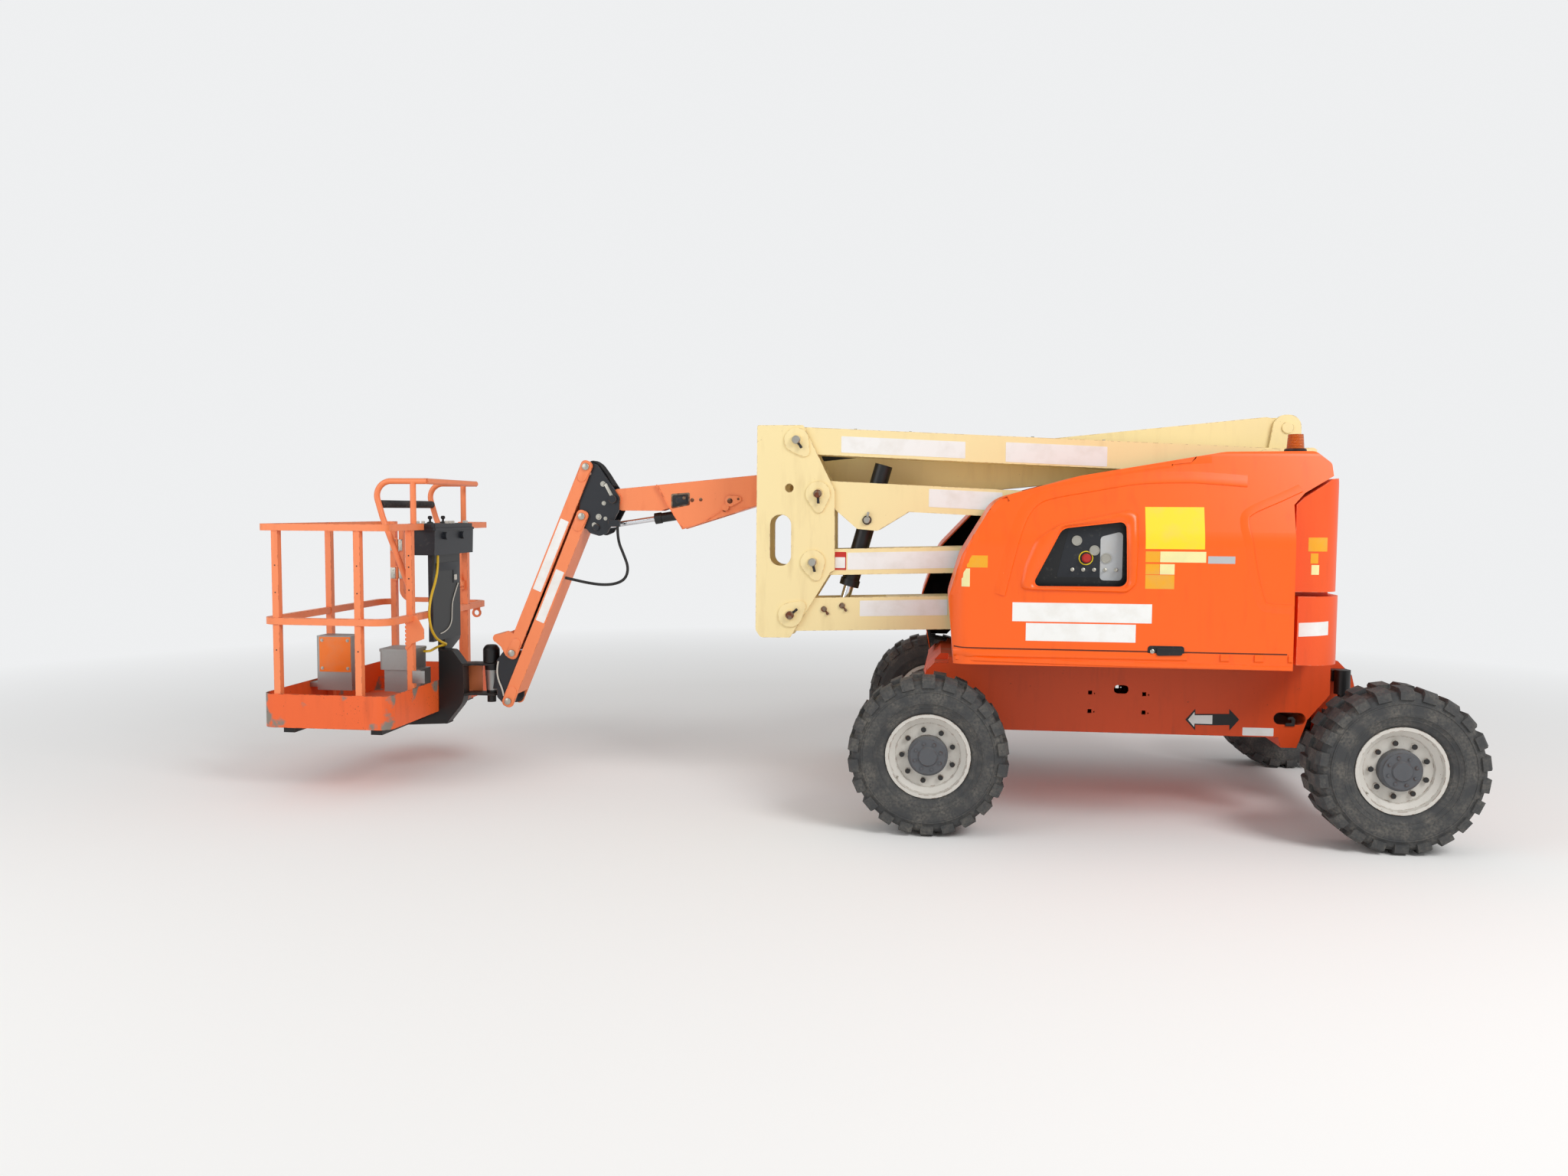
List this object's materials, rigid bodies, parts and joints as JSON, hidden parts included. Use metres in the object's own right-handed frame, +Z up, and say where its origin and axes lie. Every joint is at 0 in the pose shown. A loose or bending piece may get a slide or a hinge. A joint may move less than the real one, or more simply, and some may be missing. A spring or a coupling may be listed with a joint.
{
  "type": "articulating boom lift",
  "caption": "Four-wheel articulating boom lift: hooded turntable, parallelogram tower, telescopic main boom, parallelogram jib and a rotating railed work platform.",
  "frame": {"origin": "on the ground, midway between the axles, on the centre line and the slewing axis", "axes": "+X towards the counterweight and steered axle, the stowed platform lies at -X; -Y is the side with the ground panel; +Z up"},
  "size_m": [6.6784, 2.34, 2.2604],
  "materials": {
    "orange": "semi-gloss paint",
    "boom_orange": "semi-gloss paint",
    "cream": "semi-gloss paint",
    "charcoal": "satin paint",
    "black_paint": "satin paint",
    "rim_cream": "worn paint",
    "grey_paint": "satin paint",
    "chrome": "polished",
    "tyre": "dusty rubber",
    "iron": "painted casting",
    "black_plastic": "moulded",
    "grey_plastic": "moulded",
    "amber": "translucent lens",
    "foam": "foam sleeve",
    "red": "moulded",
    "hose": "hydraulic hose",
    "cable_yellow": "cable sheath"
  },
  "bodies": {
    "chassis": {"chassis_frame": "orange", "drive_axle": "iron", "steer_axle": "iron", "lockout_cylinders": "black_paint"},
    "steer_knuckle_near": {"steer_knuckle_near": "iron"},
    "steer_knuckle_far": {"steer_knuckle_far": "iron"},
    "turntable": {"turntable_deck": "black_paint", "counterweight_lower": "orange", "counterweight_upper": "orange", "engine": "iron", "fluid_tank": "black_paint", "ground_panel": "grey_paint"},
    "near_hood": {"near_hood": "orange", "beacon": "amber"},
    "far_hood": {"far_hood": "orange"},
    "link_1": {"link_1": "cream"},
    "link_2": {"link_2": "cream"},
    "link_3": {"link_3": "cream"},
    "link_4": {"link_4": "cream"},
    "middle_upright": {"middle_upright": "cream"},
    "upper_upright": {"upper_upright": "cream"},
    "tower_cylinder_barrel": {"tower_cylinder_barrel": "black_paint"},
    "tower_cylinder_rod": {"tower_cylinder_rod": "chrome"},
    "main_boom": {"main_boom_base": "cream", "hose_cover": "black_plastic"},
    "fly": {"fly_section": "boom_orange", "level_cylinder_barrel": "black_paint"},
    "boom_cylinder_barrel": {"boom_cylinder_barrel": "black_paint"},
    "boom_cylinder_rod": {"boom_cylinder_rod": "chrome"},
    "knuckle": {"knuckle": "charcoal", "jib_hose": "hose"},
    "level_cylinder_rod": {"level_cylinder_rod": "chrome"},
    "jib_link_upper": {"jib_link_upper": "boom_orange"},
    "jib_link_lower": {"jib_link_lower": "boom_orange"},
    "jib_cylinder_barrel": {"jib_cylinder_barrel": "black_paint"},
    "jib_cylinder_rod": {"jib_cylinder_rod": "chrome"},
    "jib_end": {"jib_end_bracket": "charcoal", "rotator": "black_paint"},
    "platform": {"platform_support": "black_paint", "platform_tray": "boom_orange", "platform_rails": "boom_orange", "guard_hoop": "boom_orange", "padded_bar": "foam", "console_box": "charcoal", "platform_boxes": "grey_plastic", "foot_switch": "red", "platform_cable": "cable_yellow"},
    "platform_gate": {"platform_gate": "boom_orange"},
    "wheel_drive_near": {"tyre_drive_near": "tyre", "rim_drive_near": "rim_cream", "hub_drive_near": "black_paint"},
    "wheel_drive_far": {"tyre_drive_far": "tyre", "rim_drive_far": "rim_cream", "hub_drive_far": "black_paint"},
    "wheel_steer_near": {"tyre_steer_near": "tyre", "rim_steer_near": "rim_cream", "hub_steer_near": "black_paint"},
    "wheel_steer_far": {"tyre_steer_far": "tyre", "rim_steer_far": "rim_cream", "hub_steer_far": "black_paint"}
  },
  "joints": [
    {"name": "swing", "type": "hinge", "parent": "chassis", "child": "turntable", "pos_m": [0, 0, 0.9], "axis": [0, 0, 1], "range_deg": [-177.5, 177.5]},
    {"name": "tower_lift", "type": "hinge", "parent": "turntable", "child": "link_4", "pos_m": [0.67, 0, 1.16], "axis": [0, 1, 0], "range_deg": [0, 66]},
    {"name": "link_3_pivot", "type": "hinge", "parent": "turntable", "child": "link_3", "pos_m": [0.8, 0, 1.47], "axis": [0, 1, 0], "range_deg": [-0.5, 66.5]},
    {"name": "middle_upright_pivot", "type": "hinge", "parent": "link_4", "child": "middle_upright", "pos_m": [-1.98888, 0, 1.08294], "axis": [0, 1, 0], "range_deg": [-66.5, 0.5]},
    {"name": "link_2_pivot", "type": "hinge", "parent": "middle_upright", "child": "link_2", "pos_m": [-1.82988, 0, 1.79494], "axis": [0, 1, 0], "range_deg": [-66.5, 0.5]},
    {"name": "link_1_pivot", "type": "hinge", "parent": "middle_upright", "child": "link_1", "pos_m": [-1.95788, 0, 2.10694], "axis": [0, 1, 0], "range_deg": [-66.5, 0.5]},
    {"name": "upper_upright_pivot", "type": "hinge", "parent": "link_2", "child": "upper_upright", "pos_m": [0.82716, 0, 1.66964], "axis": [0, 1, 0], "range_deg": [-0.5, 66.5]},
    {"name": "tower_cylinder_pivot", "type": "hinge", "parent": "link_2", "child": "tower_cylinder_barrel", "pos_m": [-1.54388, 0, 1.64294], "axis": [0, 1, 0], "range_deg": [-0.5, 62.33]},
    {"name": "tower_cylinder_stroke", "type": "slide", "parent": "tower_cylinder_barrel", "child": "tower_cylinder_rod", "axis": [-0.2704, 0, -0.9627], "range_m": [-0.005, 0.6731]},
    {"name": "main_boom_lift", "type": "hinge", "parent": "upper_upright", "child": "main_boom", "pos_m": [0.852, 0, 2.188], "axis": [0, 1, 0], "range_deg": [0, 80]},
    {"name": "boom_cylinder_pivot", "type": "hinge", "parent": "upper_upright", "child": "boom_cylinder_barrel", "pos_m": [0.77, 0, 1.7], "axis": [0, 1, 0], "range_deg": [-0.5, 64.65]},
    {"name": "boom_cylinder_stroke", "type": "slide", "parent": "boom_cylinder_barrel", "child": "boom_cylinder_rod", "axis": [-0.9878, 0, 0.1557], "range_m": [-0.005, 0.5527]},
    {"name": "boom_extend", "type": "slide", "parent": "main_boom", "child": "fly", "axis": [-0.9951, 0, -0.099], "range_m": [0, 1.6]},
    {"name": "knuckle_level", "type": "hinge", "parent": "fly", "child": "knuckle", "pos_m": [-3.14, 0, 1.76], "axis": [0, 1, 0], "range_deg": [-80.5, 0.5]},
    {"name": "level_cylinder_stroke", "type": "slide", "parent": "fly", "child": "level_cylinder_rod", "axis": [-0.9882, 0, -0.1534], "range_m": [-0.2694, 0.005]},
    {"name": "jib_lift", "type": "hinge", "parent": "knuckle", "child": "jib_link_lower", "pos_m": [-3.336, 0, 1.653], "axis": [0, 1, 0], "range_deg": [0, 140]},
    {"name": "jib_upper_pivot", "type": "hinge", "parent": "knuckle", "child": "jib_link_upper", "pos_m": [-3.308, 0, 1.961], "axis": [0, 1, 0], "range_deg": [-0.5, 140.5]},
    {"name": "jib_end_level", "type": "hinge", "parent": "jib_link_lower", "child": "jib_end", "pos_m": [-3.825, 0, 0.478], "axis": [0, 1, 0], "range_deg": [-140.5, 0.5]},
    {"name": "jib_cylinder_pivot", "type": "hinge", "parent": "knuckle", "child": "jib_cylinder_barrel", "pos_m": [-3.336, 0, 1.653], "axis": [0, 1, 0], "range_deg": [-0.5, 139.46]},
    {"name": "jib_cylinder_stroke", "type": "slide", "parent": "jib_cylinder_barrel", "child": "jib_cylinder_rod", "axis": [-0.4695, 0, -0.8829], "range_m": [-0.005, 0.5858]},
    {"name": "platform_rotate", "type": "hinge", "parent": "jib_end", "child": "platform", "pos_m": [-3.972, 0, 0.6], "axis": [0, 0, 1], "range_deg": [-90, 90]},
    {"name": "gate", "type": "hinge", "parent": "platform", "child": "platform_gate", "pos_m": [-4.952, 0.741, 1.2], "axis": [0, 0, -1], "range_deg": [0, 85]},
    {"name": "near_hood_lift", "type": "hinge", "parent": "turntable", "child": "near_hood", "pos_m": [0.5, -0.46, 1.98], "axis": [-1, 0, 0], "range_deg": [0, 60]},
    {"name": "far_hood_lift", "type": "hinge", "parent": "turntable", "child": "far_hood", "pos_m": [0.5, 0.195, 1.98], "axis": [1, 0, 0], "range_deg": [0, 60]},
    {"name": "steer_near", "type": "hinge", "parent": "chassis", "child": "steer_knuckle_near", "pos_m": [1.17, -0.82, 0.42], "axis": [0, 0, 1], "range_deg": [-35, 35]},
    {"name": "steer_far", "type": "hinge", "parent": "chassis", "child": "steer_knuckle_far", "pos_m": [1.17, 0.82, 0.42], "axis": [0, 0, 1], "range_deg": [-35, 35]},
    {"name": "roll_drive_near", "type": "hinge", "parent": "chassis", "child": "wheel_drive_near", "pos_m": [-1.17, -1.015, 0.42], "axis": [0, 1, 0], "continuous": true},
    {"name": "roll_drive_far", "type": "hinge", "parent": "chassis", "child": "wheel_drive_far", "pos_m": [-1.17, 1.015, 0.42], "axis": [0, 1, 0], "continuous": true},
    {"name": "roll_steer_near", "type": "hinge", "parent": "steer_knuckle_near", "child": "wheel_steer_near", "pos_m": [1.17, -1.015, 0.42], "axis": [0, 1, 0], "continuous": true},
    {"name": "roll_steer_far", "type": "hinge", "parent": "steer_knuckle_far", "child": "wheel_steer_far", "pos_m": [1.17, 1.015, 0.42], "axis": [0, 1, 0], "continuous": true}
  ],
  "couplings": [
    {"joint": "link_3_pivot", "follows": "tower_lift", "ratio": 1},
    {"joint": "middle_upright_pivot", "follows": "tower_lift", "ratio": -1},
    {"joint": "link_2_pivot", "follows": "tower_lift", "ratio": -1},
    {"joint": "link_1_pivot", "follows": "tower_lift", "ratio": -1},
    {"joint": "upper_upright_pivot", "follows": "tower_lift", "ratio": 1},
    {"joint": "tower_cylinder_pivot", "follows": "tower_lift", "ratio": 0.93683},
    {"joint": "tower_cylinder_stroke", "follows": "tower_lift", "m_per_rad": 0.58},
    {"joint": "boom_cylinder_pivot", "follows": "main_boom_lift", "ratio": 0.80188},
    {"joint": "boom_cylinder_stroke", "follows": "main_boom_lift", "m_per_rad": 0.39225},
    {"joint": "knuckle_level", "follows": "main_boom_lift", "ratio": -1},
    {"joint": "level_cylinder_stroke", "follows": "main_boom_lift", "m_per_rad": -0.18933},
    {"joint": "jib_upper_pivot", "follows": "jib_lift", "ratio": 1},
    {"joint": "jib_end_level", "follows": "jib_lift", "ratio": -1},
    {"joint": "jib_cylinder_pivot", "follows": "jib_lift", "ratio": 0.99255},
    {"joint": "jib_cylinder_stroke", "follows": "jib_lift", "m_per_rad": 0.2377},
    {"joint": "steer_far", "follows": "steer_near", "ratio": 1}
  ]
}
